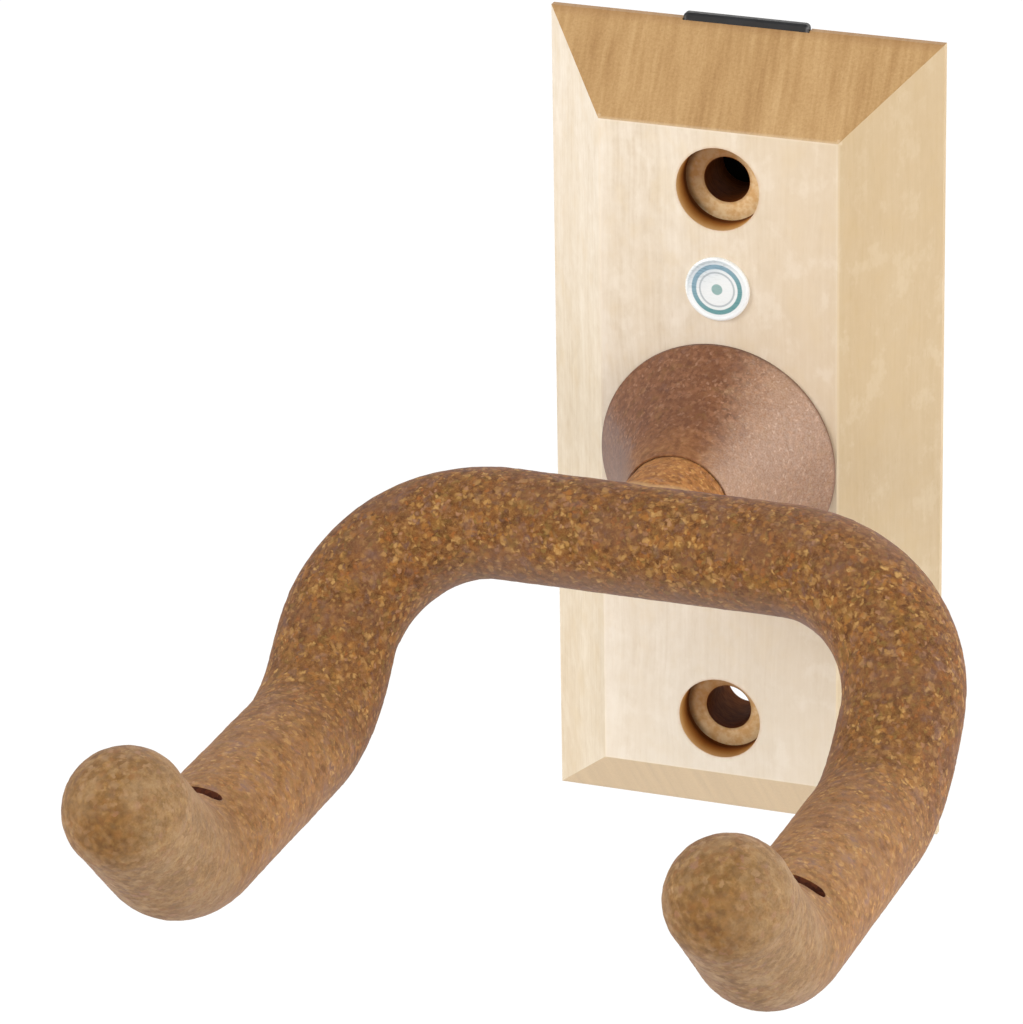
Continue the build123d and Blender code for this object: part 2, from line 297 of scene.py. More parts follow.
def maple_hole(wood, distance):
    """Drilled hole: scorched wall, paler shoulder with a painted shadow at its upper left, and a
    dark bore.
    """
    x, y, z = wood.x, wood.y, wood.z
    deep = y + PLATE_DEPTH + wood.graph.place.noise(size=2.2).swing(reach=0.7)
    char = wood.graph.vec(x, y * 3.0, z).noise(size=1.3, rough=0.6)
    wall = deep.linear(start=0.0, end=4.0).ramp(
        (0.00, 222, 182, 126), (0.30, 200, 148, 84), (0.54, 166, 108, 52),
        (0.80, 92, 50, 20), (0.98, 110, 68, 36))
    shoulder = char.ease(start=0.35, end=0.65).between((240, 212, 166), (222, 180, 124))
    shoulder = shoulder.toward((150, 100, 56), distance.ease(start=3.5, end=3.0, high=0.45))
    # painted shadow: the mouth's upper left edge darkens the shoulder, most where it meets the wall
    shade = x * 0.8 + (HOLE_Z - abs(z)) * z.math("SIGN")
    shoulder = shoulder.toward((138, 82, 38), shade.ease(start=2.6, end=-4.2, high=0.60))
    shoulder = shoulder.toward((78, 42, 18), distance.ease(start=4.5, end=5.4)
                               * shade.ease(start=4.0, end=0.0, high=0.7))
    shoulder_radius, bore_radius = 5.47, 3.05
    on_shoulder = (wood.facing[1] < -0.7) * (distance < shoulder_radius)
    bore = char.ease(start=0.35, end=0.68).between((112, 62, 26), (92, 48, 18))
    return on_shoulder.between(wall, shoulder).toward(bore, distance < bore_radius)


def maple():
    graph = Material("maple_wood")
    vec = graph.vec
    x, y, z = graph.place.xyz()
    facing = graph.normal("True Normal")
    # the grain wanders slowly across the plate
    wander = vec(x * 0.5, y, z * 0.35).noise(size=9.0, detail=2.0, rough=0.5)
    across = x + wander.swing(reach=3.2)
    fibre = vec(across, y, z * 0.045).noise(size=0.42, detail=4.0, rough=0.62)
    band = vec(across, y * 0.5, z * 0.02).noise(size=8.0, detail=2.0, rough=0.5)
    pore = vec(across * 1.0, y, z * 0.16).cells(size=0.55)[0].ease(start=0.20, end=0.05)
    grit = vec(x, y, z).noise(size=0.34, rough=0.7)
    dot_distance, dot_colour = vec(x, y, z).cells(size=0.62)
    dot = (dot_distance.ease(start=0.30, end=0.10)
           * dot_colour.channels()[0].ease(start=0.35, end=0.8))
    layers = SimpleNamespace(graph=graph, x=x, y=y, z=z, facing=facing, across=across,
                             fibre=fibre, band=band, pore=pore, grit=grit, dot=dot)

    slope = 0.35    # normals past this belong to a slope
    end = maple_end(layers)
    is_end = (abs(facing[2]) > slope) * (abs(facing[0]) < slope)
    wood = is_end.between(maple_side(layers), end)
    # painted light: the lower slope is paler than the upper one
    wood = wood.toward(end.toward((242, 222, 190), 0.50), is_end * (facing[2] < -slope))
    # painted shade: the right slope is darker and yellower than the left one
    right = facing[0].ease(start=0.3, end=0.5) * 0.80
    wood = wood.toward(wood.times((228, 219, 196)), right)

    # painted highlight: a thin paler line where the slopes meet the front
    edge = abs(abs(x) - EDGE_X).math("MINIMUM", abs(abs(z) - EDGE_Z))
    edge = edge.ease(start=0.34, end=0.05, high=0.22)
    wood = wood.toward((247, 232, 208), edge * (y < -12.0))

    upper = (x * x + (z - HOLE_Z) ** 2.0).sqrt()
    lower = (x * x + (z + HOLE_Z) ** 2.0).sqrt()
    distance = upper.math("MINIMUM", lower)
    mouth_radius, back_skin = 5.56, -0.05
    inside = (distance < mouth_radius) * (y > FRONT_SKIN) * (y < back_skin)
    wood = wood.toward(maple_hole(layers, distance), inside)
    # a faint scorch and a crumbled lip round each mouth
    lip = distance + graph.place.noise(size=0.9) * 0.5
    lip = lip.ease(start=6.15, end=5.65, high=0.34) * (y < FRONT_SKIN)
    wood = wood.toward((196, 148, 100), lip)
    # faces turned to the back are raw and a little darker
    wood = wood.toward((214, 182, 138), (facing[1] > 0.5) * 0.35)

    side_height = fibre * 0.7 + (1.0 - pore) * 0.35
    end_height = grit * 0.8 + (1.0 - dot) * 0.5
    height = graph.out("ShaderNodeMix", {0: is_end, 2: side_height, 3: end_height},
                       data_type="FLOAT")
    return graph.paint({
        "Base Color": wood,
        "Roughness": (fibre * 0.6 + grit * 0.4).linear(low=0.60, high=0.44),
        "Specular IOR Level": inside.linear(low=0.38, high=0.02, start=0.0, end=1.0),
        "Normal": graph.bump(height, depth=0.05, strength=0.55)})


# ------------------------------------------------------------------ cork composites
def granules(place, size):
    """Warped coordinates, big grains and small chips, for shaders and geometry nodes alike."""
    warp = place.noise(size=size * 0.95, detail=2.0, rough=0.5, output=1) - 0.5
    warped = place + warp * (size * 1.5)
    return warped, warped.cells(size), (warped + (31.7, 12.3, 7.9)).cells(size * 0.62)


def cork(name, size, ground, big, small, patch, rough, specular, sheen, wear_and_painted_light,
         soft=1.0, coat=0.0):
    """Grains and chips on a mottled ground; wear_and_painted_light(layers, colour) adds what one
    piece alone has: its wear and its painted light and shade.

    The ground has three colours, dark to light; big and small are the grain and chip colours.
    """
    graph = Material(name)
    place = graph.place
    warped, (grain_distance, grain_colour), (chip_distance, chip_colour) = granules(place, size)
    grain = grain_colour.channels()
    chip = chip_colour.channels()
    base = place.noise(size=size * 1.05, rough=0.58)
    colour = base.ramp((0.32, *ground[0]), (0.50, *ground[1]), (0.68, *ground[2]))
    # big grains: every cell is one grain with a soft edge and its own colour
    colour = colour.toward(grain[0].steps(big),
                           grain_distance.ease(start=0.66, end=0.26, high=0.64 * soft))
    # small chips between them, many faint and a few strong
    strength = chip[2].ease(start=0.10, end=0.95, low=0.25)
    chips = chip_distance.ease(start=0.74, end=0.16, high=0.80 * soft) * strength
    colour = colour.toward(chip[1].steps(small), chips)
    # short curled fibres
    curl = (place + (3.0, 21.0, 8.0)).noise(size=size * 0.62, detail=2.0, rough=0.5, distort=1.6)
    colour = colour.toward(big[-1], abs(curl - 0.5).ease(start=0.05, end=0.0, high=0.22 * soft))
    colour = colour.toward(ground[0], curl.ease(start=0.60, end=0.72, high=0.40 * soft))
    fine = place.noise(size=size * 0.30, rough=0.65)
    colour = colour.toward(ground[0], fine.ease(start=0.50, end=0.72, high=0.12))
    # slow drifts of hue: the patch colour, mauve grey and olive
    cloud = (place + (5.0, 40.0, 17.0)).noise(size=size * 6.5, rough=0.6)
    colour = colour.toward(patch, cloud.ease(start=0.46, end=0.66, high=0.40))
    hue = (place + (60.0, 4.0, 33.0)).noise(size=size * 2.6, rough=0.6)
    colour = colour.toward((128, 102, 96), hue.ease(start=0.56, end=0.70, high=0.30 * soft))
    colour = colour.toward((138, 106, 46), hue.ease(start=0.44, end=0.32, high=0.28 * soft))
    layers = SimpleNamespace(graph=graph, place=place, warped=warped, chip=chip, base=base,
                             chip_distance=chip_distance, fine=fine, cloud=cloud, hue=hue)
    height = 1.0 - grain_distance * 0.9 + (0.6 - chip_distance) * 0.5 + fine * 0.35
    if coat:
        graph.paint({"Coat Weight": fine.linear(low=coat * 1.2, high=coat * 0.5),
                     "Coat Roughness": 0.34})
    return graph.paint({
        "Base Color": wear_and_painted_light(layers, colour),
        "Roughness": fine.linear(low=rough - 0.06, high=rough + 0.08),
        "Specular IOR Level": specular,
        "Sheen Weight": sheen,
        "Sheen Roughness": 0.5,
        "Sheen Tint": rgb(214, 204, 226),
        "Normal": graph.bump(height, depth=size * 0.045, strength=0.42)})


def arm_wear_and_painted_light(layers, colour):
    """Wear and painted light of the yoke: a painted sheen below, paler along the arms with wear and
    painted light, mottled at the ends, a painted light on the +x cheeks.
    """
    place, cloud, hue = layers.place, layers.cloud, layers.hue
    x, y, z = place.xyz()
    facing = layers.graph.normal("Normal")
    # painted sheen: the underside turns duller and greyer
    colour = colour.toward((138, 116, 102), facing[2].ease(start=0.05, end=-0.80, high=0.40))
    # the arms turn paler towards the front, partly wear and partly painted light
    forward = (y + cloud.swing(reach=30.0)).ease(start=-52.0, end=-86.0, high=0.30)
    arm_hue = (place + (14.0, 55.0, 2.0)).noise(size=2.0, rough=0.6).ramp(
        (0.36, 158, 116, 70), (0.48, 196, 148, 92), (0.58, 206, 160, 108), (0.68, 176, 142, 124))
    colour = colour.toward(arm_hue, forward)
    # ends: coarse beige, olive and grey mottle round a rust brown patch
    worn = (y + cloud.swing(reach=20.0)).ease(start=-90.0, end=-118.0, high=0.56)
    spot_distance, spot_colour = (layers.warped + (11.0, 3.0, 5.0)).cells(size=1.05)
    spots = spot_colour.channels()[0].ramp(
        (0.0, 100, 72, 38), (0.22, 156, 128, 92), (0.42, 132, 88, 48),
        (0.60, 178, 146, 110), (0.76, 112, 90, 58), (0.90, 158, 118, 98), mode="CONSTANT")
    sand = place.noise(size=1.2, detail=4.0, rough=0.66).ramp(
        (0.36, 100, 72, 36), (0.50, 134, 102, 58), (0.64, 170, 138, 92))
    mottle = sand.toward(spots, spot_distance.ease(start=0.66, end=0.26, high=0.80))
    colour = colour.toward(mottle, worn)
    # slow clouds of rubbed beige; painted light: a paler cheek towards +x
    rubbed = (place + (70.0, 2.0, 9.0)).noise(size=4.6, rough=0.6)
    front = y.ease(start=-98.0, end=-112.0)
    colour = colour.toward((176, 148, 110), rubbed.ease(start=0.50, end=0.66, high=0.30) * front)
    colour = colour.toward((112, 84, 46), rubbed.ease(start=0.48, end=0.34, high=0.30) * front)
    painted_light_cheek = (facing[0] + rubbed.swing(reach=0.9)).ease(start=0.10, end=0.75, high=0.26) * front
    painted_light_cheek_colour = layers.fine.ease(start=0.40, end=0.62).between((180, 152, 116), (152, 124, 88))
    colour = colour.toward(painted_light_cheek_colour, painted_light_cheek)
    tip = ((abs(x) - ARM_X) ** 2.0 + (z + TIP_DROP) ** 2.0).sqrt()
    tip = tip + hue.swing(reach=9.0) - rubbed.swing(reach=8.0)
    stain = tip.ease(start=7.0, end=0.8, high=0.58) * y.ease(start=-110.0, end=-122.0)
    rust = layers.base.ease(start=0.30, end=0.68).between((88, 54, 18), (134, 90, 38))
    return colour.toward(rust, stain)


def sleeve_painted_highlight(layers, colour):
    """A painted highlight: a paler band where the sleeve is glued to the bar."""
    x, y, z = layers.place.xyz()
    bar_back = YOKE_Y + (BAR_RADIUS ** 2 - z * z).math("MAXIMUM", 0.0).sqrt()
    return colour.toward((204, 168, 122), (y - bar_back).ease(start=1.3, end=0.2, high=0.55))


def rosette_painted_light(layers, colour):
    """Painted light and shade on the cone, by radius and by angle round its axis (degrees, 0 at +x,
    90 at the top).
    """
    x, y, z = layers.place.xyz()
    # painted bounce light: the thin end turns towards the colour of the sleeve
    radius = (x * x + z * z).sqrt() + layers.cloud.swing(reach=4.0)
    wear_and_painted_bounce = layers.base.ramp((0.34, 132, 86, 46), (0.50, 160, 108, 62), (0.66, 186, 136, 86))
    colour = colour.toward(wear_and_painted_bounce, radius.ease(start=9.6, end=7.2, high=0.60))
    # painted reflection: pale on the right; painted shade: deep red brown on top; painted sheen:
    # dull grey on the left
    angle = z.math("ARCTAN2", x) * 57.29578
    angle = angle + layers.hue.swing(reach=34.0) + (radius - 11.0) * -1.8
    pale = angle.ease(start=82.0, end=40.0) * angle.ease(start=-120.0, end=-60.0)
    pale = pale * angle.ease(start=-60.0, end=40.0, low=0.26, high=0.60)
    painted_reflection_colour = layers.fine.ease(start=0.34, end=0.66).between((208, 178, 156), (184, 146, 116))
    colour = colour.toward(painted_reflection_colour, pale)
    # painted glints in the pale reflection
    gleam = (layers.chip_distance.ease(start=0.48, end=0.14)
             * layers.chip[0].ease(start=0.66, end=0.86))
    colour = colour.toward((222, 196, 176), gleam * (pale * 0.65))
    # painted shade on top
    crown = angle.ease(start=66.0, end=84.0) * angle.ease(start=156.0, end=132.0)
    colour = colour.toward((114, 62, 26), crown * 0.28)
    # painted grey sheen on the left
    grey = angle.ease(start=144.0, end=164.0).math("MAXIMUM", angle.ease(start=-120.0, end=-150.0))
    colour = colour.toward((142, 120, 112), grey * 0.46)
    # painted shade: a dark line at the foot against the plate
    return colour.toward((70, 42, 28), y.ease(start=-13.3, end=-12.7) * 0.5)


def yoke_cork():
    return cork(
        "cork_cover_speckled", COVER_GRAIN,
        ground=[(88, 52, 22), (118, 74, 34), (140, 94, 48)],
        big=[(88, 52, 22), (150, 104, 54), (116, 84, 64), (172, 116, 52), (104, 76, 34),
             (132, 80, 34), (186, 142, 84)],
        small=[(190, 142, 76), (160, 96, 42), (82, 48, 20), (172, 128, 94), (134, 106, 54),
               (206, 162, 96), (110, 80, 66)],
        patch=(124, 88, 66), rough=0.74, specular=0.18, sheen=0.12, wear_and_painted_light=arm_wear_and_painted_light)


def sleeve_cork():
    return cork(
        "cork_sleeve_golden", SLEEVE_GRAIN,
        ground=[(134, 84, 38), (164, 108, 54), (184, 128, 70)],
        big=[(124, 76, 34), (176, 118, 60), (196, 138, 76), (150, 98, 48)],
        small=[(216, 164, 92), (196, 130, 70), (118, 72, 34), (206, 156, 104)],
        patch=(176, 122, 66), rough=0.70, specular=0.22, sheen=0.08, wear_and_painted_light=sleeve_painted_highlight)


def rosette_cork():
    return cork(
        "cork_rosette_fine", ROSETTE_GRAIN,
        ground=[(98, 60, 36), (122, 78, 48), (144, 98, 66)],
        big=[(90, 54, 32), (142, 94, 60), (118, 76, 50), (160, 112, 80)],
        small=[(176, 130, 98), (148, 100, 68), (84, 50, 30), (186, 146, 118)],
        patch=(112, 72, 46), rough=0.60, specular=0.40, sheen=0.07, wear_and_painted_light=rosette_painted_light,
        soft=0.95, coat=0.14)


def cut_cork():
    """The raw cut faces of the slits: a painted shade, dark red-brown."""
    graph = Material("cork_cut_dark")
    distance, cell_colour = graph.place.cells(size=0.5)
    return graph.paint({
        "Base Color": cell_colour.channels()[0].between((80, 36, 16), (118, 60, 30)),
        "Roughness": graph.place.noise(size=0.4).linear(low=0.75, high=0.95),
        "Normal": graph.bump(distance, depth=0.05, strength=0.5)})


# ------------------------------------------------------------------ metals and plastics
def black_paint():
    graph = Material("black_powder_coat")
    place = graph.place
    x, y, z = place.xyz()
    orange_peel = place.noise(size=0.55, rough=0.6)
    dust = place.noise(size=3.5, detail=4.0, rough=0.6)
    colour = dust.ease(start=0.42, end=0.75, high=0.5).between((17, 18, 21), (33, 35, 40))
    # rubbed edges: bare metal shows at the long sides and at both faces
    half_width, thickness = 8.3, 1.2
    edge_x = abs(abs(x) - half_width)
    edge_y = abs(y).math("MINIMUM", abs(y + thickness))
    wear_and_painted_bounce = ((edge_x + edge_y).ease(start=0.55, end=0.10)
           * place.noise(size=1.1, detail=4.0, rough=0.65).ease(start=0.45, end=0.62))
    colour = colour.toward((150, 150, 152), wear_and_painted_bounce * 0.55)
    # painted shade: the screw hole's wall is near black and has no specular
    bore = (x * x + (z - HOLE_Z) ** 2.0).sqrt().ease(start=3.3, end=3.0)
    bore = bore * (graph.normal("True Normal")[1] < 0.5)
    return graph.paint({
        "Base Color": colour.toward((10, 9, 8), bore),
        "Metallic": wear_and_painted_bounce * 0.5,
        "Specular IOR Level": bore.linear(low=0.5, high=0.0, start=0.0, end=1.0),
        "Roughness": orange_peel.linear(low=0.34, high=0.52),
        "Normal": graph.bump(orange_peel, depth=0.03, strength=0.5)})


def zinc():
    graph = Material("bright_zinc_turned")
    x, y, z = graph.place.xyz()
    radius = (x * x + z * z).sqrt()
    turning = graph.vec(radius * 1.0, y * 1.0, 0.0).noise(size=0.16, rough=0.6)
    mottle = graph.place.noise(size=1.8, detail=4.0, rough=0.6)
    return graph.paint({
        "Base Color": mottle.ramp((0.32, 150, 150, 150), (0.50, 188, 190, 194),
                                  (0.66, 208, 208, 204), (0.80, 196, 192, 170)),
        "Metallic": 1.0,
        "Roughness": (turning * 0.6 + mottle * 0.4).linear(low=0.24, high=0.46),
        "Normal": graph.bump(turning, depth=0.02, strength=0.4)})


def nylon():
    graph = Material("natural_nylon")
    flow = graph.place.noise(size=2.6)
    fine = graph.place.noise(size=0.3, rough=0.6)
    return graph.paint({
        "Base Color": flow.ramp((0.3, 216, 212, 196), (0.6, 232, 229, 217), (0.8, 238, 236, 226)),
        "Roughness": fine.linear(low=0.36, high=0.52),
        "Subsurface Weight": 0.15,
        "Subsurface Scale": 0.0015,
        "Normal": graph.bump(fine, depth=0.02, strength=0.4)})


def badge_face():
    """Plain concentric rings on a silvery white ground."""
    graph = Material("badge_printed_rings")
    x, y, z = graph.place.xyz()
    radius = (x * x + (z - BADGE_Z) ** 2.0).sqrt()
    radius = radius + graph.place.noise(size=0.7, detail=2.0).swing(reach=0.05)
    diagonal = x * -0.6 + (z - BADGE_Z)
    colour = diagonal.ease(start=0.5, end=4.5, high=0.7).between((242, 246, 247), (196, 214, 226))
    grain = graph.vec(x * 0.15, y, z).noise(size=0.18, rough=0.6)
    colour = colour.toward((214, 222, 228), grain.ease(start=0.4, end=0.7, high=0.18))
    teal = diagonal.ease(start=-3.0, end=3.5).between((64, 142, 146), (120, 160, 182))
    blur = 0.06
    # inner radius, outer radius, strength, colour
    rings = [(2.75, 3.35, 0.90, teal),
             (2.15, 2.38, 0.65, (150, 162, 172)),
             (-1.0, 0.72, 0.70, (70, 146, 142)),
             (3.95, 9.0, 0.8, (250, 251, 251))]
    for inner, outer, strength, ring_colour in rings:
        ring = (radius.ease(start=inner - blur, end=inner + blur)
                * radius.ease(start=outer + blur, end=outer - blur))
        colour = colour.toward(ring_colour, ring * strength)
    return graph.paint({
        "Base Color": colour,
        "Roughness": grain.linear(low=0.22, high=0.36),
        "Coat Weight": 0.4,
        "Coat Roughness": 0.12,
        "Metallic": diagonal.ease(start=0.0, end=4.0) * 0.15,
        "Normal": graph.bump(grain, depth=0.01, strength=0.3)})


materials = {
    "maple": maple(),
    "black_steel": black_paint(),
    "zinc_steel": zinc(),
    "nylon": nylon(),
    "badge": badge_face(),
    "rosette_composite": rosette_cork(),
    "cork_composite": yoke_cork(),
    "sleeve": sleeve_cork(),
    "cut": cut_cork(),
}

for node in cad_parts.values():
    for slot in node.material_slots:
        key = slot.material.name.split(".")[0] if slot.material else "maple"
        slot.material = materials.get(key, materials["maple"])


# ------------------------------------------------------------------ mesh helpers
def new_object(name, bm, slots, smooth=True, outward=True):
    if outward:
        bmesh.ops.recalc_face_normals(bm, faces=bm.faces)
    mesh = bpy.data.meshes.new(name)
    bm.to_mesh(mesh)
    bm.free()
    for face in mesh.polygons:
        face.use_smooth = smooth
    for material in slots:
        mesh.materials.append(material)
    ob = bpy.data.objects.new(name, mesh)
    scene.collection.objects.link(ob)
    return ob


def circle_angles(count):
    return [2 * math.pi * k / count for k in range(count)]


def skin(bm, loops, flip=False):
    """Faces between successive closed loops; a loop of one vertex closes in a fan."""
    for a, b in zip(loops, loops[1:]):
        count = max(len(a), len(b))
        for k in range(count):
            after = (k + 1) % count
            corners = [a[k % len(a)], a[after % len(a)], b[after % len(b)], b[k % len(b)]]
            corners = list(dict.fromkeys(corners))
            if flip:
                corners = corners[:1] + corners[:0:-1]
            bm.faces.new(corners)


def bake_modifiers(ob):
    """Replaces the object's mesh with its evaluated one, and drops its modifiers."""
    depsgraph = bpy.context.evaluated_depsgraph_get()
    depsgraph.update()
    mesh = bpy.data.meshes.new_from_object(ob.evaluated_get(depsgraph), depsgraph=depsgraph)
    old = ob.data
    ob.modifiers.clear()
    ob.data = mesh
    mesh.name = ob.name
    bpy.data.meshes.remove(old)


def grain_relief(ob, size, amount, slow_amount, slow_size):
    """Moves the surface with the grains the cork material draws, so relief and colour agree."""
    tree = bpy.data.node_groups.new(ob.name + "_relief", "GeometryNodeTree")
    for direction in ("INPUT", "OUTPUT"):
        tree.interface.new_socket(name="Geometry", in_out=direction,
                                  socket_type="NodeSocketGeometry")
    graph = Graph(tree)
    group_in = graph.out("NodeGroupInput")
    group_out = graph.add("NodeGroupOutput")
    place = graph.out("GeometryNodeInputPosition") * 1000.0
    _, (grain_distance, grain_colour), (chip_distance, _) = granules(place, size)
    height = (0.45 - grain_distance + grain_colour.xyz()[0].swing(reach=0.8)
              + (0.45 - chip_distance) * 0.5)
    slow = place.noise(size=slow_size, detail=2.0, rough=0.5)
    height = height * (amount * MM) + slow.swing(reach=slow_amount * MM * 2.0)
    normal = graph.out("GeometryNodeInputNormal")
    offset = graph.out("ShaderNodeVectorMath", {0: normal, "Scale": height}, operation="SCALE")
    moved = graph.out("GeometryNodeSetPosition", {"Geometry": group_in, "Offset": offset})
    graph.fill(group_out, {0: moved})
    ob.modifiers.new("relief", "NODES").node_group = tree


# ------------------------------------------------------------------ the yoke's cork cover
# corners of the right half's centre line, from the bar to the tip: (x, y, z), bend radius
HALF_PATH = [((ARM_X, YOKE_Y, 0.0), 18.4),
             ((ARM_X, YOKE_Y - 19.6, -21.5), 15.5),
             ((ARM_X, YOKE_Y - 64.0, ARM_Z), 17.4),
             ((ARM_X, YOKE_Y - 77.9, -TIP_DROP), 0.0)]


def centre_line(step):
    """Points and directions along the cover from the left tip to the right tip."""
    right = [Vector(p) for p, _ in HALF_PATH]
    radii = [r for _, r in HALF_PATH]
    corners = [Vector((-c.x, c.y, c.z)) for c in reversed(right)] + right
    bends = list(reversed(radii)) + radii
    stations = []

    def straight(start, end):
        count = max(1, round((end - start).length / step))
        direction = (end - start).normalized()
        stations.extend((start.lerp(end, i / count), direction) for i in range(count))

    here = corners[0]
    for i in range(1, len(corners) - 1):
        corner, radius = corners[i], bends[i]
        before = (corner - corners[i - 1]).normalized()
        after = (corners[i + 1] - corner).normalized()
        turn = before.angle(after)
        setback = radius * math.tan(turn / 2)
        bend_start = corner - before * setback
        straight(here, bend_start)
        axis = before.cross(after).normalized()
        centre = bend_start + axis.cross(before) * radius
        count = max(2, round(turn * radius / step))
        for k in range(count):
            rotation = Matrix.Rotation(turn * k / count, 3, axis)
            stations.append((centre + rotation @ (bend_start - centre), rotation @ before))
        here = corner + after * setback
    straight(here, corners[-1])
    stations.append((corners[-1], (corners[-1] - corners[-2]).normalized()))
    return stations


def cover_radius(p):
    """The bar's radius on the bar, the arms' on the arms, easing over the shoulder bend."""
    ease_start_x = 20.0
    share = 1.0
    if p.z > -16.0:
        share = max(0.0, min(1.0, (abs(p.x) - ease_start_x) / (ARM_X - ease_start_x)))
    if abs(p.x) > ARM_X - 0.3:
        share = 0.8 + 0.2 * max(0.0, min(1.0, (-p.z - 13.0) / 4.0))
    share = share * share * (3 - 2 * share)
    return BAR_RADIUS + (ARM_RADIUS - BAR_RADIUS) * share


def tip_dome(tip, outward, along, step):
    """Rings of a round end: centre, direction along the cover, radius."""
    count = round(ARM_RADIUS * math.pi / 2 / step)
    angles = [math.pi / 2 * k / count for k in range(1, count + 1)]
    return [(tip + outward * ARM_RADIUS * math.sin(a), along, ARM_RADIUS * math.cos(a))
            for a in angles]


def build_cover(step=0.40, around=118):
    stations = centre_line(step)
    first, first_direction = stations[0]
    last, last_direction = stations[-1]
    rings = tip_dome(first, -first_direction, first_direction, step)[::-1]
    rings += [(p, direction, cover_radius(p)) for p, direction in stations]
    rings += tip_dome(last, last_direction, last_direction, step)
    bm = bmesh.new()
    # the cross axis is carried along the line without twist
    cross = Vector((1.0, 0.0, 0.0))
    previous = None
    loops = []
    for centre, direction, radius in rings:
        if previous is not None:
            cross = previous.rotation_difference(direction) @ cross
        cross = (cross - direction * cross.dot(direction)).normalized()
        previous = direction
        other = direction.cross(cross)
        if radius < 1e-4:
            loops.append([bm.verts.new(centre * MM)])
            continue
        loops.append([
            bm.verts.new((centre + (cross * math.cos(t) + other * math.sin(t)) * radius) * MM)
            for t in circle_angles(around)])
    skin(bm, loops)
    return new_object("cork_cover", bm, [materials["cork_composite"], materials["cut"]])


def slit_cutter(side, sign):
    """A thin upright tongue with round ends, for the slit across the top of an arm."""
    width, end_radius = 8.4, 0.95
    reach = width / 2 - end_radius
    centre_x, centre_y = sign * (ARM_X + 0.75), YOKE_Y - 58.0
    bottom, top = ARM_Z + 5.0, ARM_Z + 10.2
    outline = []
    for end, start_angle in ((reach, -math.pi / 2), (-reach, math.pi / 2)):
        for k in range(13):
            a = start_angle + math.pi * k / 12
            outline.append((centre_x + end + end_radius * math.cos(a),
                            centre_y + end_radius * math.sin(a)))
    bm = bmesh.new()
    low, high = [[bm.verts.new((x * MM, y * MM, z * MM)) for x, y in outline]
                 for z in (bottom, top)]
    bm.faces.new(low[::-1])
    bm.faces.new(high)
    skin(bm, [low, high])
    ob = new_object("slit_cutter_" + side, bm,
                    [materials["cork_composite"], materials["cut"]], smooth=False)
    for face in ob.data.polygons:
        face.material_index = 1
    return ob


cover = build_cover()
grain_relief(cover, COVER_GRAIN, amount=0.05, slow_amount=0.07, slow_size=9.0)
bake_modifiers(cover)
cutters = [slit_cutter("right", 1), slit_cutter("left", -1)]
for cutter in cutters:
    boolean = cover.modifiers.new("slit", "BOOLEAN")
    boolean.operation = "DIFFERENCE"
    boolean.solver = "EXACT"
    boolean.object = cutter
bake_modifiers(cover)
for cutter in cutters:
    bpy.data.objects.remove(cutter)
for face in cover.data.polygons:
    face.use_smooth = face.material_index == 0
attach(cover, "yoke")
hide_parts("yoke_cover")


# ------------------------------------------------------------------ the sleeve on the stem
def build_sleeve(around=112, rows=54):
    """A tube from the rosette to the bar, its front end cut to the bar's round."""
    _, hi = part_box("stem_sleeve")
    back_y, outer_radius = hi[1] / MM, hi[0] / MM
    seat_radius = BAR_RADIUS - 0.12
    back_face_radii = (4.1, 4.9, 5.8, 6.4)
    edge_round = {0: 0.22, 1: 0.07}    # what the first rows lose in radius
    bm = bmesh.new()

    def ring(radius, share):
        verts = []
        for angle in circle_angles(around):
            x, z = radius * math.cos(angle), radius * math.sin(angle)
            front_y = YOKE_Y + math.sqrt(max(0.0, seat_radius ** 2 - z * z))
            y = back_y + (front_y - back_y) * share
            verts.append(bm.verts.new((x * MM, y * MM, z * MM)))
        return verts

    loops = [ring(radius, 0.0) for radius in back_face_radii]
    loops += [ring(outer_radius + 0.10 - edge_round.get(i, 0.0), i / rows)
              for i in range(rows + 1)]
    skin(bm, loops, flip=True)
    return new_object("cork_sleeve", bm, [materials["sleeve"]])


sleeve = build_sleeve()
grain_relief(sleeve, SLEEVE_GRAIN, amount=0.04, slow_amount=0.0, slow_size=5.0)
bake_modifiers(sleeve)
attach(sleeve, "yoke")
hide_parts("stem_sleeve")


# ------------------------------------------------------------------ the round badge
# radius, distance behind the foremost point: a flat face inside a raised, rounded rim
BADGE_PROFILE = [(0.0, 0.10), (0.8, 0.10), (1.8, 0.10), (2.8, 0.10), (3.55, 0.10),
                 (3.68, 0.09), (3.76, 0.045), (3.84, 0.01), (3.92, 0.0), (4.03, 0.01),
                 (4.13, 0.05), (4.20, 0.12), (4.24, 0.22)]


def build_badge(around=96):
    lo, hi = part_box("badge")
    front_y, back_y, rim = lo[1] / MM, hi[1] / MM, hi[0] / MM
    centre_z = (lo[2] + hi[2]) / 2 / MM
    profile = [(radius, front_y + inset) for radius, inset in BADGE_PROFILE + [(rim, 0.36)]]
    profile.append((rim, back_y))
    bm = bmesh.new()
    loops = []
    for radius, y in profile:
        angles = circle_angles(around) if radius else [0.0]
        loops.append([bm.verts.new((radius * math.cos(a) * MM, y * MM,
                                    (centre_z + radius * math.sin(a)) * MM)) for a in angles])
    skin(bm, loops, flip=True)
    bm.faces.new(loops[-1][::-1])
    ob = new_object("badge_disc", bm, [materials["badge"]])
    ob.data.polygons[len(ob.data.polygons) - 1].use_smooth = False    # the back
    return ob


badge = build_badge()
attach(badge, "wall_plate")
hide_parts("badge")


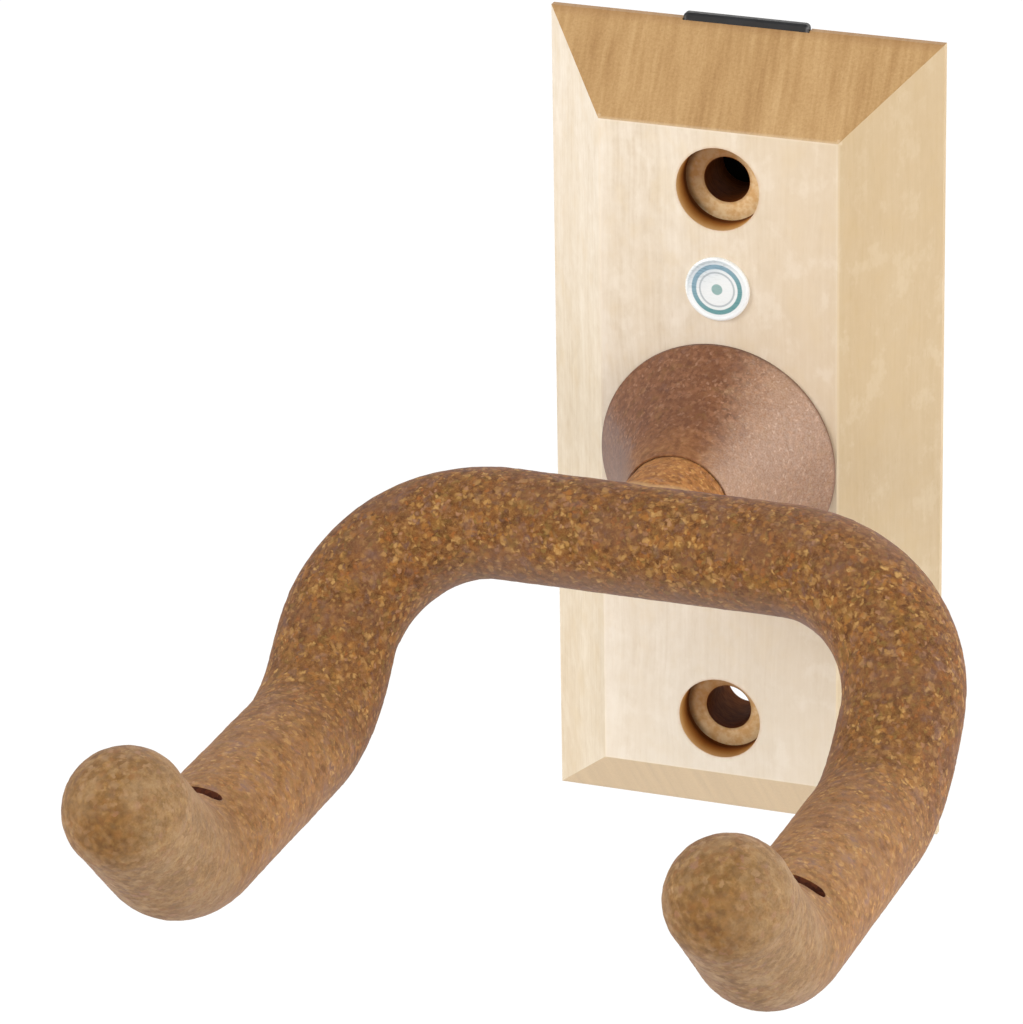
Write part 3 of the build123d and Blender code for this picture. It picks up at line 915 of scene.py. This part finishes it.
# ------------------------------------------------------------------ floor, light, camera
# From here on, places and sizes are in metres.
def floor_material():
    """Pale paper. Seen from above it glows like a lit sweep; from below it is clear."""
    graph = Material("studio_floor")
    paper = graph.place.noise(size=60.0)
    graph.paint({
        "Base Color": paper.ease(start=0.3, end=0.7).between((226, 226, 225), (232, 232, 231)),
        "Roughness": 0.9})
    below = graph.out("ShaderNodeNewGeometry", output="Backfacing")
    camera_ray = graph.out("ShaderNodeLightPath", output="Is Camera Ray")
    glow = graph.out("ShaderNodeEmission", {"Color": (1.0, 1.0, 1.0, 1.0), "Strength": 1.06})
    lit = graph.out("ShaderNodeMixShader",
                    {0: camera_ray * 0.94, 1: graph.surface.outputs[0], 2: glow})
    clear = graph.out("ShaderNodeBsdfTransparent")
    graph.fill(graph.output, {0: graph.out("ShaderNodeMixShader", {0: below, 1: lit, 2: clear})})
    return graph.data


def build_floor(cells=24, half=4.0, height=-0.26):
    bm = bmesh.new()
    spots = [-half + 2 * half * i / cells for i in range(cells + 1)]
    grid = [[bm.verts.new((x, y, 0.0)) for x in spots] for y in spots]
    for near, far in zip(grid, grid[1:]):
        for i in range(cells):
            bm.faces.new((near[i], near[i + 1], far[i + 1], far[i]))
    floor = new_object("studio_floor", bm, [floor_material()], smooth=False, outward=False)
    floor.location = (0.0, 0.0, height)


def build_world():
    """Soft light, strongest from +y and +x; the camera sees plain white."""
    world = bpy.data.worlds.new("studio_world")
    scene.world = world
    world.use_nodes = True
    world.node_tree.nodes.clear()
    graph = Graph(world.node_tree)
    x, y, z = graph.out("ShaderNodeTexCoord", output="Generated").xyz()
    overhead = z.ease(start=0.35, end=0.9)
    behind = (x * 0.45 + y * 0.88 + z * 0.15).ease(start=0.25, end=0.95)
    level = (0.50 + behind * 1.25) * overhead.linear(low=1.0, high=0.75, start=0.0, end=1.0)
    soft = graph.out("ShaderNodeBackground", {0: (1.0, 0.985, 0.965, 1.0), 1: level})
    plain = graph.out("ShaderNodeBackground", {0: (1.0, 1.0, 1.0, 1.0), 1: 1.0})
    camera_ray = graph.out("ShaderNodeLightPath", output="Is Camera Ray")
    mixed = graph.out("ShaderNodeMixShader", {0: camera_ray, 1: soft, 2: plain})
    graph.add("ShaderNodeOutputWorld", {0: mixed})


def softbox(name, place, aim, size, power, colour):
    light = bpy.data.lights.new(name, "AREA")
    light.shape = "RECTANGLE"
    light.size, light.size_y = size
    light.energy = power
    light.color = colour
    ob = bpy.data.objects.new(name, light)
    scene.collection.objects.link(ob)
    ob.location = place
    ob.visible_camera = False
    ob.rotation_mode = "QUATERNION"
    ob.rotation_quaternion = (Vector(aim) - Vector(place)).to_track_quat("-Z", "Y")


def build_camera():
    data = bpy.data.cameras.new("camera")
    data.sensor_fit = "AUTO"
    data.sensor_width = 36.0
    data.sensor_height = 36.0
    data.lens = 237.796875
    data.clip_start, data.clip_end = 0.01, 50.0
    camera = bpy.data.objects.new("camera", data)
    scene.collection.objects.link(camera)
    place = Vector((0.25364, -0.76487, 0.33355))
    right = Vector((0.938657, 0.344495, -0.015713))
    down = Vector((0.122313, -0.37518, -0.918847))
    ahead = Vector((-0.322433, 0.86056, -0.394301))
    turn = Matrix((right, -down, -ahead)).transposed().to_4x4()
    camera.matrix_world = Matrix.Translation(place) @ turn
    scene.camera = camera


build_floor()
build_world()
softbox("key_left", place=(-0.78, -0.74, 0.66), aim=(0.0, -0.03, 0.0),
        size=(0.60, 0.60), power=8.6, colour=(1.0, 0.99, 0.97))
softbox("rake_right", place=(1.02, -0.10, 0.34), aim=(0.0, -0.05, 0.0),
        size=(0.62, 0.62), power=6.0, colour=(1.0, 0.975, 0.965))
softbox("front_fill", place=(0.10, -1.10, 0.02), aim=(0.0, -0.03, 0.0),
        size=(0.60, 0.46), power=2.2, colour=(1.0, 0.98, 0.96))
build_camera()

bpy.context.view_layer.update()
